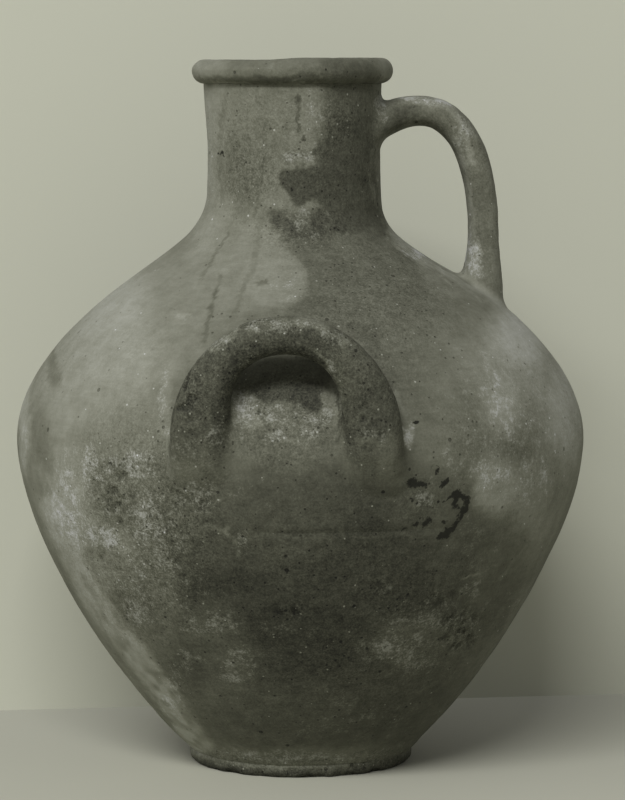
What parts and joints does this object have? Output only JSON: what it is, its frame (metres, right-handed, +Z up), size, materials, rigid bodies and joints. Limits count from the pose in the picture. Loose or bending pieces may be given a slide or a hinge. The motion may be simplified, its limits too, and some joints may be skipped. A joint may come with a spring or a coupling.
{
  "type": "hydria",
  "caption": "Ovoid fired-clay water jar with a cylindrical neck, rolled lip, disc foot, upright neck handle and two upturned side handles.",
  "frame": {"origin": "centre of the flat underside of the foot", "axes": "+Z up through the neck, +X towards the neck handle, the two side handles on -Y (front) and +Y (rear)"},
  "size_m": [0.3552, 0.3746, 0.441],
  "materials": {
    "body_clay": "unglazed fired clay, grey olive with pale and dark patches, matte",
    "neck_clay": "unglazed fired clay, streaked, matte",
    "handle_clay": "unglazed fired clay, pitted, rubbed pale on the ridges, matte",
    "foot_clay": "unglazed fired clay, rough and worn at the edge, matte"
  },
  "bodies": {
    "root": {"foot": "foot_clay", "lower_body": "body_clay", "upper_body": "body_clay", "neck": "neck_clay", "lip": "neck_clay", "neck_handle": "handle_clay", "neck_handle_top_coil": "handle_clay", "neck_handle_base_coil": "handle_clay", "front_handle": "handle_clay", "front_handle_left_coil": "handle_clay", "front_handle_right_coil": "handle_clay", "rear_handle": "handle_clay", "rear_handle_left_coil": "handle_clay", "rear_handle_right_coil": "handle_clay"}
  },
  "joints": []
}
